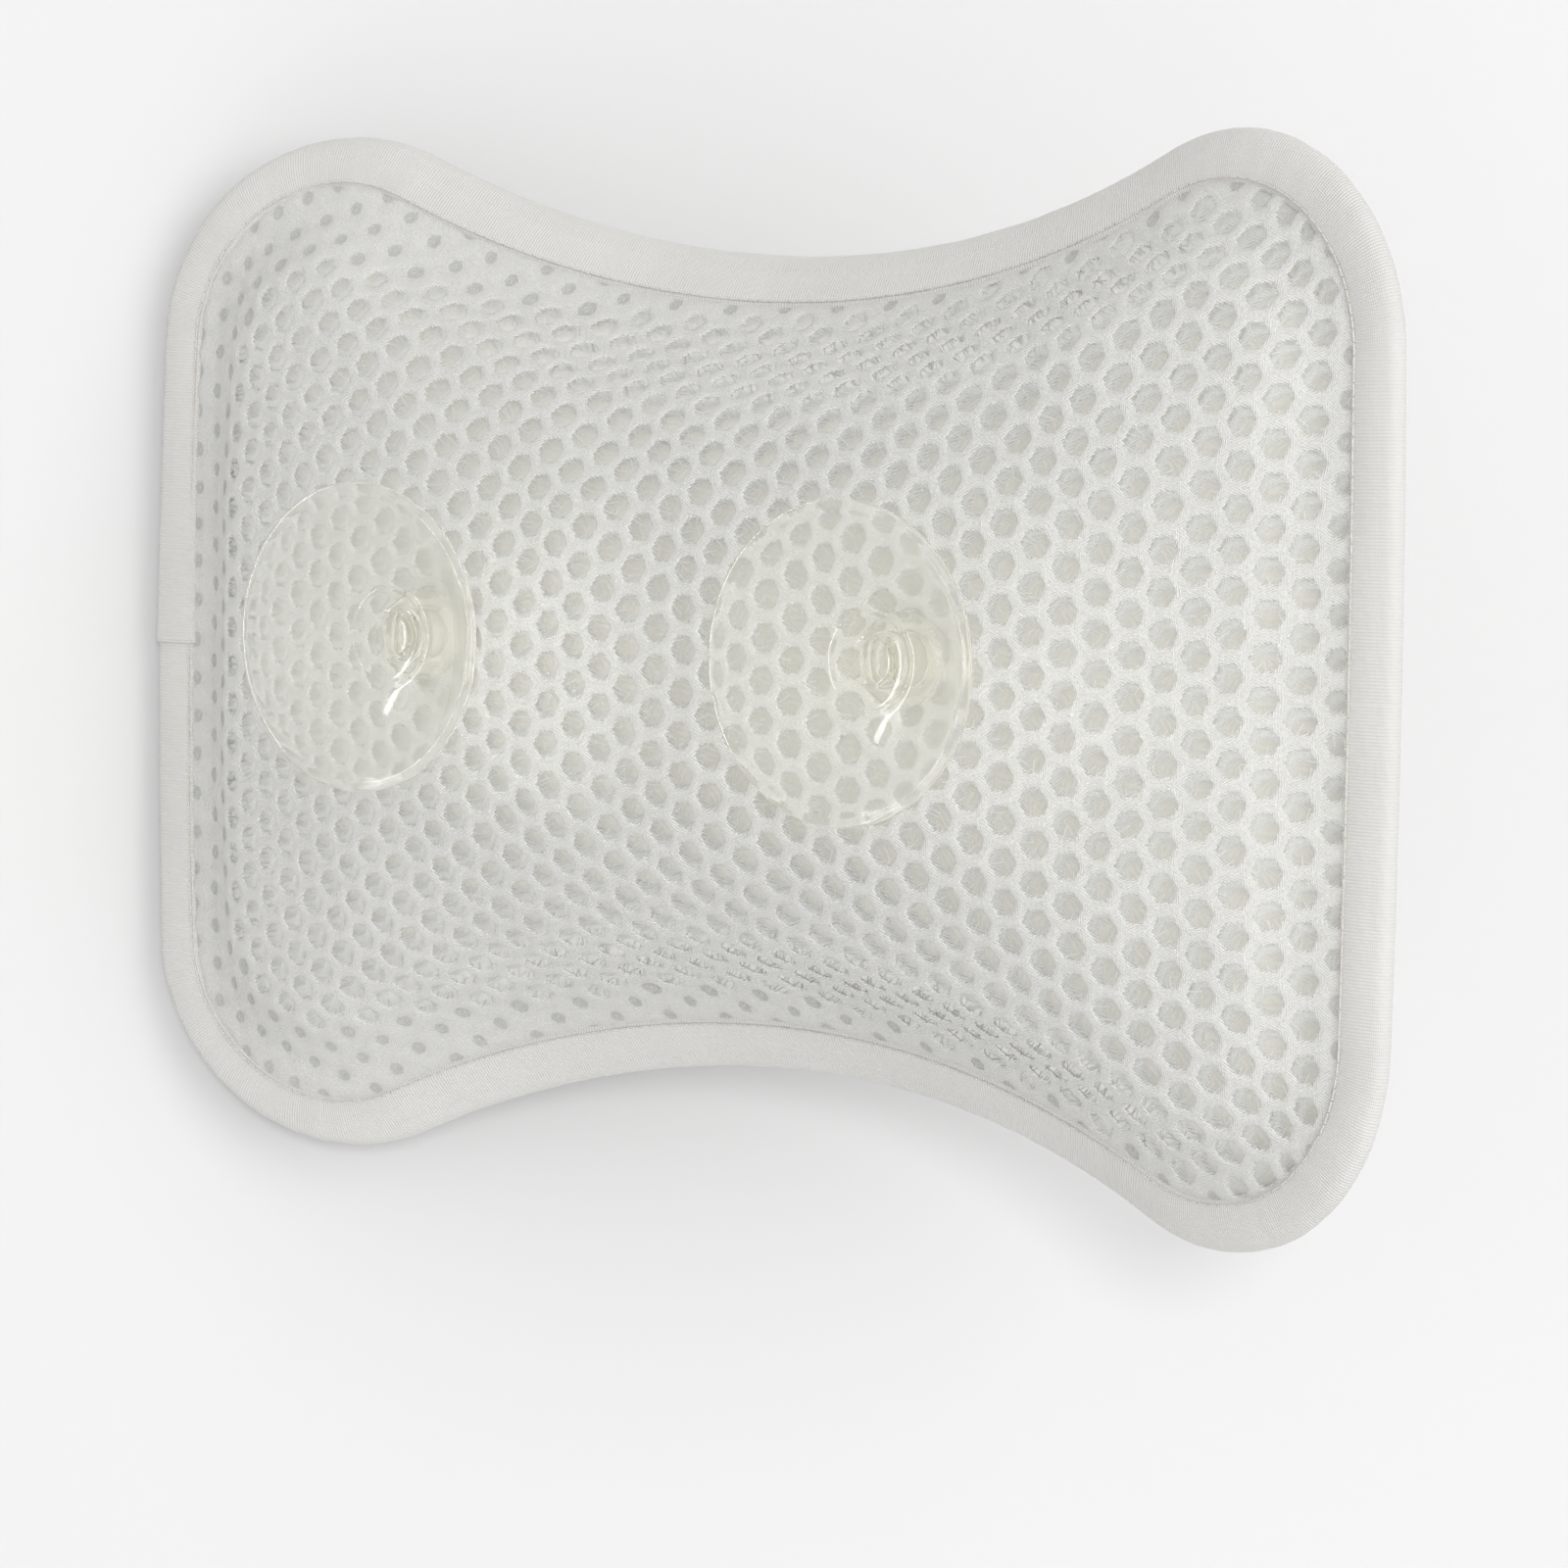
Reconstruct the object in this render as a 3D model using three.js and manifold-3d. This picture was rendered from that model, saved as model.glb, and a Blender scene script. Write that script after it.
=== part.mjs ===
// Bath pillow: two crowned panels of knitted air mesh over a fibre filling, bound all round
// with a sewn tape, and two clear suction cups that hold it to the wall of a bath.
// Millimetres, +Z up. X runs along the pillow and Y from the bath wall to the bather.
// The origin is the middle of the plane in which the two cup rims lie.

import * as THREE from 'three';
import { mergeVertices } from 'three/addons/utils/BufferGeometryUtils.js';
import Module from 'manifold-3d';

const wasm = await Module();
wasm.setup();

// Outline of the pillow, over the binding.
const pillowWidth = 300;
const pillowHeight = 206;
const waistHeight = 159;
const lobeRadius = 42;
const sideRadius = 2400;

// Swell of the two faces over the seam, and the bend of both ends towards the wall.
// A higher power keeps the face fuller towards that edge.
const backCrown = 46;
const frontCrown = 33;
const endBow = 23;
const endPower = 2.4;
const waistPower = 2.8;

// Air mesh panels: full thickness, and the thickness pressed inside the binding.
const panelThickness = 6;
const pressedPanel = 1.65;

// Binding tape and its sewing.
const tapeThickness = 0.9;
const bindingWidth = 8.5;
const stitchMargin = 1.5;
const threadDiameter = 0.6;

// Suction cups.
const cupDiameter = 60;
const cupSpacing = 116;
const cupRise = 5;
const dishDepth = 11.5;
const lipWidth = 2;
const lipThickness = 1.2;
const dishWall = 3.5;
const stemLength = 4.5;
const hubDiameter = 18;
const hubHeight = 2.5;
const hubSink = 1.5;
const neckDiameter = 9;
const neckLength = 4;
const headDiameter = 16;
const headHeight = 4;

// Gap between pieces that touch.
const clearance = 0.3;

// Facets along each quarter of the outline, round a cup, up its bowl and round a hole for it.
const sideSteps = 3;
const lobeSteps = 7;
const waistSteps = 6;
const cupSegments = 36;
const bowlSteps = 6;
const holeSegments = 24;

// Rings that lie on a panel between the binding and the middle, as shares of the way out.
const shoulderInset = 9;
const innerShares = [0.8, 0.55, 0.28];

const wovenWhite = new THREE.MeshStandardMaterial({ color: 0xdcdcd6, roughness: 0.85, metalness: 0 });
const tapeWhite = new THREE.MeshStandardMaterial({ color: 0xdfdfda, roughness: 0.7, metalness: 0 });
const fibreWhite = new THREE.MeshStandardMaterial({ color: 0xf0f0ec, roughness: 0.95, metalness: 0 });
const threadWhite = new THREE.MeshStandardMaterial({ color: 0xd8d3c8, roughness: 0.6, metalness: 0 });
const clearVinyl = new THREE.MeshStandardMaterial({
  color: 0xe6e6dc,
  roughness: 0.12,
  metalness: 0,
  transparent: true,
  opacity: 0.4,
});

// The outline is three tangent arcs in each quarter: a long side arc, a lobe and a hollow waist.
const lobeZ = pillowHeight / 2 - lobeRadius;
const sideCentreX = pillowWidth / 2 - sideRadius;
const lobeX = sideCentreX + Math.sqrt((sideRadius - lobeRadius) ** 2 - lobeZ ** 2);
const waistZ = waistHeight / 2;
const waistRise = pillowHeight / 2 - waistZ;
const waistRadius = (lobeX ** 2 + (waistZ - lobeZ) ** 2 - lobeRadius ** 2) / (2 * waistRise);
const waistCentreZ = waistZ + waistRadius;
const sideToLobe = Math.atan2(lobeZ, lobeX - sideCentreX);
const lobeToWaist = Math.atan2(waistCentreZ - lobeZ, -lobeX);
const waistStart = Math.atan2(lobeZ - waistCentreZ, lobeX);

// Points of an arc with the outline's outward normal; hollow arcs have it turned inwards.
function arcStations(centreX, centreZ, radius, from, to, steps, facing) {
  return Array.from({ length: steps }, (_, step) => {
    const angle = from + ((to - from) * step) / steps;
    const across = Math.cos(angle);
    const along = Math.sin(angle);
    return {
      x: centreX + radius * across,
      z: centreZ + radius * along,
      normalX: facing * across,
      normalZ: facing * along,
    };
  });
}

function mirrored(station, flipX, flipZ) {
  return {
    x: station.x * flipX,
    z: station.z * flipZ,
    normalX: station.normalX * flipX,
    normalZ: station.normalZ * flipZ,
  };
}

function outlineStations() {
  const quarter = [
    ...arcStations(sideCentreX, 0, sideRadius, 0, sideToLobe, sideSteps, 1),
    ...arcStations(lobeX, lobeZ, lobeRadius, sideToLobe, lobeToWaist, lobeSteps, 1),
    ...arcStations(0, waistCentreZ, waistRadius, waistStart, -Math.PI / 2, waistSteps, -1),
    { x: 0, z: waistZ, normalX: 0, normalZ: 1 },
  ];
  const back = quarter.slice(1, -1).reverse();
  const sideMiddle = quarter[0];
  return [
    ...quarter,
    ...back.map((station) => mirrored(station, -1, 1)),
    mirrored(sideMiddle, -1, 1),
    ...quarter.slice(1).map((station) => mirrored(station, -1, -1)),
    ...back.map((station) => mirrored(station, 1, -1)),
  ];
}

const stations = outlineStations();

// The nose of the binding is a half round over the two pressed panels.
const pressedHalf = clearance / 2 + pressedPanel;
const noseInner = pressedHalf + clearance;
const noseRadius = noseInner + tapeThickness;

// How far the faces have swollen at a point: 0 at the pressed edge and 1 in the middle.
function halfHeightAt(x) {
  const tangentX = waistRadius * Math.cos(waistStart);
  if (Math.abs(x) < tangentX) {
    return waistCentreZ - Math.sqrt((waistRadius + noseRadius) ** 2 - x ** 2);
  }
  const reach = (lobeRadius - noseRadius) ** 2 - (Math.abs(x) - lobeX) ** 2;
  return lobeZ + Math.sqrt(Math.max(reach, 0));
}

function halfWidthAt(z) {
  const tangentZ = sideRadius * Math.sin(sideToLobe);
  if (Math.abs(z) < tangentZ) {
    return sideCentreX + Math.sqrt((sideRadius - noseRadius) ** 2 - z ** 2);
  }
  const reach = (lobeRadius - noseRadius) ** 2 - (Math.abs(z) - lobeZ) ** 2;
  return lobeX + Math.sqrt(Math.max(reach, 0));
}

function swell(x, z) {
  const lengthwise = 1 - Math.abs(x / halfWidthAt(z)) ** endPower;
  const upwards = 1 - Math.abs(z / halfHeightAt(x)) ** waistPower;
  if (lengthwise <= 0 || upwards <= 0) {
    return 0;
  }
  return (1 / Math.sqrt(lengthwise) + 1 / Math.sqrt(upwards) - 1) ** -2;
}

const bendAt = (x) => endBow * (x / (pillowWidth / 2)) ** 2;
const panelAt = (share) => pressedPanel + (panelThickness - pressedPanel) * Math.sqrt(share);

// The seam lies where the back face meets the hubs of the cups.
const hubFace = dishDepth + dishWall + stemLength + hubHeight;
const headSeat = hubFace + neckLength;
const cupX = cupSpacing / 2;
const cupSwell = swell(cupX, cupRise);
const seamY = hubFace - hubSink + pressedHalf + bendAt(cupX) + backCrown * cupSwell;

// Depths of the four panel faces under a point of the outline plane.
function faceDepths(x, z) {
  const share = swell(x, z);
  const seam = seamY - bendAt(x);
  const backOuter = seam - pressedHalf - backCrown * share;
  const frontOuter = seam + pressedHalf + frontCrown * share;
  return {
    seam,
    backOuter,
    backInner: backOuter + panelAt(share),
    frontInner: frontOuter - panelAt(share),
    frontOuter,
  };
}

// Rings of plan points: at fixed distances inside the outline, then drawn to the middle.
function insetRing(inset) {
  return stations.map((station) => ({
    x: station.x - inset * station.normalX,
    z: station.z - inset * station.normalZ,
  }));
}

function sharedRing(share) {
  return insetRing(bindingWidth + shoulderInset).map((point) => ({ x: point.x * share, z: point.z * share }));
}

const stitchInset = bindingWidth - stitchMargin;
const panelRings = [
  insetRing(noseRadius),
  insetRing(stitchInset),
  insetRing(bindingWidth),
  insetRing(bindingWidth + shoulderInset),
  ...innerShares.map(sharedRing),
];
const middle = { x: 0, z: 0 };

// A plan point at the depth that the given face has there.
function lift(point, depthOf) {
  const depth = depthOf(faceDepths(point.x, point.z));
  return new THREE.Vector3(point.x, depth, point.z - cupRise);
}

// Skin over a list of rings, closed by an apex at each end or, with none, by joining the ends.
// Every four-sided patch is split from its inner to its outer ring, so that faces that lie
// on each other have the same facets.
function loft(rings, apexes) {
  const count = stations.length;
  const positions = rings.flat().flatMap((point) => point.toArray());
  const triangles = [];
  const bands = apexes ? rings.length - 1 : rings.length;
  for (let band = 0; band < bands; band += 1) {
    const following = (band + 1) % rings.length;
    const near = band * count;
    const far = following * count;
    const inwards = rings[following][0].x < rings[band][0].x;
    for (let step = 0; step < count; step += 1) {
      const next = (step + 1) % count;
      if (inwards) {
        triangles.push(near + step, far + step, near + next);
        triangles.push(far + step, far + next, near + next);
      } else {
        triangles.push(near + step, far + step, far + next);
        triangles.push(near + step, far + next, near + next);
      }
    }
  }
  if (apexes) {
    const first = rings.length * count;
    const last = (rings.length - 1) * count;
    apexes.forEach((point) => positions.push(...point.toArray()));
    for (let step = 0; step < count; step += 1) {
      const next = (step + 1) % count;
      triangles.push(first, step, next);
      triangles.push(first + 1, last + next, last + step);
    }
  }
  const geometry = new THREE.BufferGeometry();
  geometry.setAttribute('position', new THREE.Float32BufferAttribute(positions, 3));
  geometry.setIndex(triangles);
  return geometry;
}

// Closed solid between two faces, the first of which looks towards the wall.
function between(rings, wallFace, batherFace, sharedEdge) {
  const inwards = [...rings].reverse();
  const wallSide = inwards.map((ring) => ring.map((point) => lift(point, wallFace)));
  const batherSide = rings.map((ring) => ring.map((point) => lift(point, batherFace)));
  const edge = sharedEdge ? [sharedEdge.ring.map((point) => lift(point, sharedEdge.face))] : [];
  const apexes = [lift(middle, wallFace), lift(middle, batherFace)];
  return loft([...wallSide, ...edge, ...batherSide], apexes);
}

// Solids for cutting.
function toSolid(geometry) {
  const bare = geometry.clone();
  bare.deleteAttribute('normal');
  bare.deleteAttribute('uv');
  const merged = mergeVertices(bare, 1e-4);
  const mesh = new wasm.Mesh({
    numProp: 3,
    vertProperties: new Float32Array(merged.getAttribute('position').array),
    triVerts: new Uint32Array(merged.getIndex().array),
  });
  return new wasm.Manifold(mesh);
}

function toGeometry(solid) {
  const mesh = solid.getMesh();
  const geometry = new THREE.BufferGeometry();
  geometry.setAttribute('position', new THREE.Float32BufferAttribute(mesh.vertProperties, 3));
  geometry.setIndex(Array.from(mesh.triVerts));
  return geometry;
}

function cut(geometry, tools) {
  const solid = tools.reduce((rest, tool) => rest.subtract(toSolid(tool)), toSolid(geometry));
  return toGeometry(solid);
}

// Round cutter along Y at one cup, from one depth to another.
function cupBore(side, diameter, fromY, toY) {
  const bore = new THREE.CylinderGeometry(
    diameter / 2 + clearance,
    diameter / 2 + clearance,
    toY - fromY,
    holeSegments,
  );
  bore.translate((side * cupSpacing) / 2, (fromY + toY) / 2, 0);
  return bore;
}

const cupSides = [-1, 1];

// Back panel: pressed flat under each hub and over each head, with a hole for each neck.
function backPanel() {
  const panel = between(panelRings, (face) => face.backOuter, (face) => face.backInner);
  const seats = cupSides.flatMap((side) => [
    cupBore(side, hubDiameter, 0, hubFace + clearance),
    cupBore(side, headDiameter, headSeat - clearance, seamY),
    cupBore(side, neckDiameter, 0, seamY),
  ]);
  return cut(panel, seats);
}

function frontPanel() {
  return between(panelRings, (face) => face.frontInner, (face) => face.frontOuter);
}

// Filling: a lens inside the two panels, with a pocket for the head of each cup.
function filling() {
  const fillRings = panelRings.slice(3);
  const lens = between(
    fillRings,
    (face) => face.backInner + clearance,
    (face) => face.frontInner - clearance,
    { ring: insetRing(bindingWidth), face: (face) => face.seam },
  );
  const headEnd = headSeat + headHeight + clearance;
  return cut(lens, cupSides.map((side) => cupBore(side, headDiameter, 0, headEnd)));
}

// Binding: one tape folded over the edge, lying on both panels.
function binding() {
  const tapeRings = panelRings.slice(0, 3);
  const turn = [-45, 0, 45].map(THREE.MathUtils.degToRad);
  const flap = (ring, offset, faceName) => ring.map((point) => {
    const seated = lift(point, (face) => face[faceName]);
    seated.y += offset;
    return seated;
  });
  const nose = (radius, angle) => insetRing(noseRadius - radius * Math.cos(angle)).map((point, index) => {
    const root = panelRings[0][index];
    const seam = faceDepths(root.x, root.z).seam;
    return new THREE.Vector3(point.x, seam + radius * Math.sin(angle), point.z - cupRise);
  });
  const over = clearance + tapeThickness;
  return loft([
    ...[...tapeRings].reverse().map((ring) => flap(ring, -over, 'backOuter')),
    ...turn.map((angle) => nose(noseRadius, angle)),
    ...tapeRings.map((ring) => flap(ring, over, 'frontOuter')),
    ...[...tapeRings].reverse().map((ring) => flap(ring, clearance, 'frontOuter')),
    ...[...turn].reverse().map((angle) => nose(noseInner, angle)),
    ...tapeRings.map((ring) => flap(ring, -clearance, 'backOuter')),
  ]);
}

// Sewing thread along the tape, on the outside of one flap.
function seamThread(faceName, outward) {
  const away = clearance + tapeThickness + clearance + threadDiameter / 2;
  const line = insetRing(stitchInset).map((point) => lift(point, (face) => face[faceName] + outward * away));
  const corners = [315, 225, 135, 45].map(THREE.MathUtils.degToRad);
  const rings = corners.map((angle) => line.map((point, index) => {
    const station = stations[index];
    const across = (threadDiameter / 2) * Math.cos(angle);
    return new THREE.Vector3(
      point.x - across * station.normalX,
      point.y + (threadDiameter / 2) * Math.sin(angle),
      point.z - across * station.normalZ,
    );
  }));
  return loft(rings);
}

// Suction cup: a dish with a flat lip, a stem with a hub that rests on the panel, and a neck
// and head that button into it.
function suctionCup() {
  const rimRadius = cupDiameter / 2;
  const bowlRadius = rimRadius - lipWidth;
  const hubRadius = hubDiameter / 2;
  const neckRadius = neckDiameter / 2;
  const headRadius = headDiameter / 2;
  const bowlShares = Array.from({ length: bowlSteps }, (_, step) => (step + 1) / (bowlSteps + 1));
  const bowlDepth = (share) => dishDepth * (1 - share ** 2);
  const wallAt = (share) => dishWall + (lipThickness - dishWall) * share;
  const inside = bowlShares.map((share) => new THREE.Vector2(bowlRadius * share, bowlDepth(share)));
  const outside = bowlShares
    .filter((share) => bowlRadius * share > neckRadius)
    .map((share) => new THREE.Vector2(bowlRadius * share, bowlDepth(share) + wallAt(share)));
  const stemShare = neckRadius / bowlRadius;
  const headChamfer = headHeight / 2;
  const profile = [
    new THREE.Vector2(0, dishDepth),
    ...inside,
    new THREE.Vector2(bowlRadius, 0),
    new THREE.Vector2(rimRadius, 0),
    new THREE.Vector2(rimRadius, lipThickness),
    ...outside.reverse(),
    new THREE.Vector2(neckRadius, bowlDepth(stemShare) + wallAt(stemShare)),
    new THREE.Vector2(neckRadius, hubFace - hubHeight),
    new THREE.Vector2(hubRadius, hubFace - hubHeight),
    new THREE.Vector2(hubRadius, hubFace),
    new THREE.Vector2(neckRadius, hubFace),
    new THREE.Vector2(neckRadius, headSeat),
    new THREE.Vector2(headRadius, headSeat),
    new THREE.Vector2(headRadius, headSeat + headHeight - headChamfer),
    new THREE.Vector2(headRadius - headChamfer, headSeat + headHeight),
    new THREE.Vector2(0, headSeat + headHeight),
  ];
  return new THREE.LatheGeometry(profile, cupSegments);
}

function piece(name, geometry, material) {
  const mesh = new THREE.Mesh(geometry, material);
  mesh.name = name;
  return mesh;
}

const pillow = new THREE.Group();
pillow.add(piece('back_mesh_panel', backPanel(), wovenWhite.clone()));
pillow.add(piece('front_mesh_panel', frontPanel(), wovenWhite.clone()));
pillow.add(piece('fibre_filling', filling(), fibreWhite));
pillow.add(piece('edge_binding', binding(), tapeWhite));
pillow.add(piece('needle_thread', seamThread('backOuter', -1), threadWhite.clone()));
pillow.add(piece('bobbin_thread', seamThread('frontOuter', 1), threadWhite.clone()));

const cups = new THREE.Group();
for (const side of cupSides) {
  const cup = piece(side < 0 ? 'suction_cup_left' : 'suction_cup_right', suctionCup(), clearVinyl.clone());
  cup.position.x = (side * cupSpacing) / 2;
  cups.add(cup);
}

const bathPillow = new THREE.Group();
bathPillow.add(pillow, cups);

export default bathPillow;
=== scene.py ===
import bpy
import bmesh
import math
import numpy as np
from mathutils import Matrix, Vector, noise
from mathutils.kdtree import KDTree


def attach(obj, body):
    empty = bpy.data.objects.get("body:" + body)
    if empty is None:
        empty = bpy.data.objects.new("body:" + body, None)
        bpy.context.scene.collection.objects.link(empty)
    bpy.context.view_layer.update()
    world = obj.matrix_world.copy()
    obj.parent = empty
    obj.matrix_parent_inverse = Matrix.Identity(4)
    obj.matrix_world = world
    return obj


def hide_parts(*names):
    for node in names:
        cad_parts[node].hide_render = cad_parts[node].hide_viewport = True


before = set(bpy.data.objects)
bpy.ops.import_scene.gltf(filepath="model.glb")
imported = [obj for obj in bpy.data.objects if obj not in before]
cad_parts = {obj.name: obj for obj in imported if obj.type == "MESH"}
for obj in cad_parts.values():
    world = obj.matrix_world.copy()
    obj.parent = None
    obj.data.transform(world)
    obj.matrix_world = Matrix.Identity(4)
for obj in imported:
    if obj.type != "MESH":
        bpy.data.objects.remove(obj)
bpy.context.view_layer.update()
scene = bpy.context.scene
mm = 0.001
print("frame loaded, nodes:", len(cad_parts))


# camera
cameraSetup = {
    "azimuth": 37.48, "elevation": 4.16, "roll": 0.87,  # degrees, as the photograph was taken
    "distance": 1.189, "lens": 139.2, "sensor": 36.0,
    "target": (-0.0048, 0.0668, -0.0286),
}


def viewAxes(spec):
    az, el, roll = (math.radians(spec[k]) for k in ("azimuth", "elevation", "roll"))
    back = Vector((math.sin(az) * math.cos(el), -math.cos(az) * math.cos(el), math.sin(el)))
    right = Vector((math.cos(az), math.sin(az), 0))
    up = back.cross(right)
    return right * math.cos(roll) + up * math.sin(roll), up * math.cos(roll) - right * math.sin(roll), back


def makeCamera(spec):
    right, up, back = viewAxes(spec)
    data = bpy.data.cameras.new("pillowCamera")
    data.lens, data.sensor_width = spec["lens"], spec["sensor"]
    data.clip_start, data.clip_end = 0.05, 20
    cam = bpy.data.objects.new("pillowCamera", data)
    turn = Matrix((right, up, back)).transposed().to_4x4()
    cam.matrix_world = Matrix.Translation(Vector(spec["target"]) + back * spec["distance"]) @ turn
    scene.collection.objects.link(cam)
    scene.camera = cam


makeCamera(cameraSetup)
print("camera set")


# the pillow's form, in millimetres, as the part's source gives it
pillow = {
    "width": 300, "height": 206, "waist": 159,
    "lobeRadius": 42, "sideRadius": 2400,
    "backCrown": 46, "frontCrown": 33,  # how far each face swells
    "endBow": 23, "endPower": 2.4, "waistPower": 2.8,
    "seamPlane": 66.788, "pressedHalf": 1.8, "nose": 3.0,
    "drop": 5,  # pillow centre below the cup axes
    "cupX": 58, "hubRadius": 9, "hubFace": 22, "neckRadius": 4.5,
    "headRadius": 8, "headEnd": 30,
    "dentReach": 7, "dentSlope": 6.5, "hubClear": 0.3,  # cloth pressed in round the hub of a cup
    "neckClear": 0.5, "parting": 1.9,  # cloth parted round its neck
    "sewn": 9.3, "pinch": 0.5, "reach": 20,  # the seam holds the cloth down, which rises within the reach
}
lobeR, sideR, noseR = pillow["lobeRadius"], pillow["sideRadius"], pillow["nose"]
lobeZ = pillow["height"] / 2 - lobeR
sideX = pillow["width"] / 2 - sideR
lobeX = sideX + math.sqrt((sideR - lobeR) ** 2 - lobeZ ** 2)
waistZ = pillow["waist"] / 2
waistR = (lobeX ** 2 + (waistZ - lobeZ) ** 2 - lobeR ** 2) / (pillow["height"] - pillow["waist"])
waistC = waistZ + waistR
sideTurn = math.atan2(lobeZ, lobeX - sideX)
lobeTurn = math.atan2(waistC - lobeZ, -lobeX)
waistTurn = math.atan2(lobeZ - waistC, lobeX)
waistEnd = waistR * math.cos(waistTurn)


def smooth(k):
    k = np.clip(k, 0, 1)
    return k * k * (3 - 2 * k)


def halfHeight(x):
    a = np.abs(x)
    dip = waistC - np.sqrt((waistR + noseR) ** 2 - np.minimum(a, waistEnd) ** 2)
    lobe = lobeZ + np.sqrt(np.maximum((lobeR - noseR) ** 2 - (a - lobeX) ** 2, 1e-6))
    return np.where(a < waistEnd, dip, lobe)


def halfWidth(z):
    a = np.abs(z)
    side = sideX + np.sqrt((sideR - noseR) ** 2 - np.minimum(a, 90) ** 2)
    lobe = lobeX + np.sqrt(np.maximum((lobeR - noseR) ** 2 - (a - lobeZ) ** 2, 1e-6))
    return np.where(a < sideR * math.sin(sideTurn), side, lobe)


def swell(x, z):
    u = np.abs(x / halfWidth(z)) ** pillow["endPower"]
    v = np.abs(z / halfHeight(x)) ** pillow["waistPower"]
    inside = (u < 1) & (v < 1)
    u, v = np.where(inside, u, 0), np.where(inside, v, 0)
    risen = smooth((edgeDepth(x, z) - pillow["sewn"]) / pillow["reach"])
    held = pillow["pinch"] + (1 - pillow["pinch"]) * risen
    return np.where(inside, held * (1 / np.sqrt(1 - u) + 1 / np.sqrt(1 - v) - 1) ** -2.0, 0)


def seam(x):
    return pillow["seamPlane"] - pillow["endBow"] * (x / (pillow["width"] / 2)) ** 2


def crown(side):
    return pillow["backCrown"] if side < 0 else pillow["frontCrown"]


def faceY(side, x, z):
    return seam(x) + side * (pillow["pressedHalf"] + crown(side) * swell(x, z))


def faceNormal(side, x, z):  # points out of the pillow
    e = 0.4
    fx = (faceY(side, x + e, z) - faceY(side, x - e, z)) / (2 * e)
    fz = (faceY(side, x, z + e) - faceY(side, x, z - e)) / (2 * e)
    n = np.stack([-fx, np.ones_like(fx), -fz], -1) * side
    return n / np.linalg.norm(n, axis=-1, keepdims=True)


def pullInside(x, z, inset):  # moves points outside the inset edge onto it
    a, b = np.abs(x), np.abs(z)
    turn = np.arctan2(b - lobeZ, a - lobeX)
    inLobe = (turn >= sideTurn) & (turn <= lobeTurn)
    r = np.hypot(a - lobeX, b - lobeZ)
    k = np.where(inLobe & (r > lobeR - inset), (lobeR - inset) / np.maximum(r, 1e-6), 1)
    a, b = lobeX + (a - lobeX) * k, lobeZ + (b - lobeZ) * k
    r = np.hypot(a, b - waistC)
    pastWaist = ~inLobe & (b > lobeZ * 0.6) & (r < waistR + inset)
    k = np.where(pastWaist, (waistR + inset) / np.maximum(r, 1e-6), 1)
    a, b = a * k, waistC + (b - waistC) * k
    r = np.hypot(a - sideX, b)
    k = np.where(~inLobe & (r > sideR - inset), (sideR - inset) / r, 1)
    a, b = sideX + (a - sideX) * k, b * k
    return np.sign(x) * a, np.sign(z) * b


def edgeDepth(x, z):  # distance inside the pillow's edge, negative outside
    a, b = np.abs(x), np.abs(z)
    turn = np.arctan2(b - lobeZ, a - lobeX)
    inLobe = (turn >= sideTurn) & (turn <= lobeTurn)
    lobe = lobeR - np.hypot(a - lobeX, b - lobeZ)
    other = np.minimum(sideR - np.hypot(a - sideX, b), np.hypot(a, b - waistC) - waistR)
    return np.where(inLobe, lobe, other)


def edgeWalk(inset, pitch):  # stations (x, z) once round the pillow
    quarter = []
    arcs = [(sideX, 0, sideR - inset, 0, sideTurn), (lobeX, lobeZ, lobeR - inset, sideTurn, lobeTurn),
            (0, waistC, waistR + inset, waistTurn, -math.pi / 2)]
    for cx, cz, r, start, end in arcs:
        n = max(2, round(abs(end - start) * r / pitch))
        for i in range(n):
            t = start + (end - start) * i / n
            quarter.append((cx + r * math.cos(t), cz + r * math.sin(t)))
    up = quarter + [(0.0, waistZ - inset)] + [(-x, z) for x, z in reversed(quarter)]
    return up + [(x, -z) for x, z in reversed(up[1:-1])]


# helpers
def makePiece(name, bm, material, body):
    mesh = bpy.data.meshes.new(name)
    bm.to_mesh(mesh)
    bm.free()
    mesh.materials.append(material)
    mesh.shade_smooth()
    piece = bpy.data.objects.new(name, mesh)
    scene.collection.objects.link(piece)
    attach(piece, body)
    return piece


def copyAll(bm):  # doubles the mesh and gives the new vertices
    made = bmesh.ops.duplicate(bm, geom=bm.verts[:] + bm.edges[:] + bm.faces[:])["geom"]
    return [g for g in made if isinstance(g, bmesh.types.BMVert)]


def vertexArray(mesh, what):
    values = np.empty(len(mesh.vertices) * 3)
    mesh.vertices.foreach_get(what, values)
    return values.reshape(-1, 3)


def subdivided(piece, levels):
    mod = piece.modifiers.new("rounded", "SUBSURF")
    mod.levels = mod.render_levels = levels
    return piece


# materials
def newMaterial(name):
    mat = bpy.data.materials.new(name)
    mat.use_nodes = True
    return mat, mat.node_tree, mat.node_tree.nodes["Principled BSDF"]


def newNodes(tree, *kinds):
    return [tree.nodes.new("ShaderNode" + kind) for kind in kinds]


def setInputs(node, values):
    for name, value in values.items():
        node.inputs[name].default_value = value


def newGroup(name, inputs, output, kind):
    tree = bpy.data.node_groups.new(name, "ShaderNodeTree")
    for socket, inputKind in inputs:
        tree.interface.new_socket(socket, in_out="INPUT", socket_type="NodeSocket" + inputKind)
    tree.interface.new_socket(output, in_out="OUTPUT", socket_type="NodeSocket" + kind)
    return tree, tree.nodes.new("NodeGroupInput"), tree.nodes.new("NodeGroupOutput")


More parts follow.
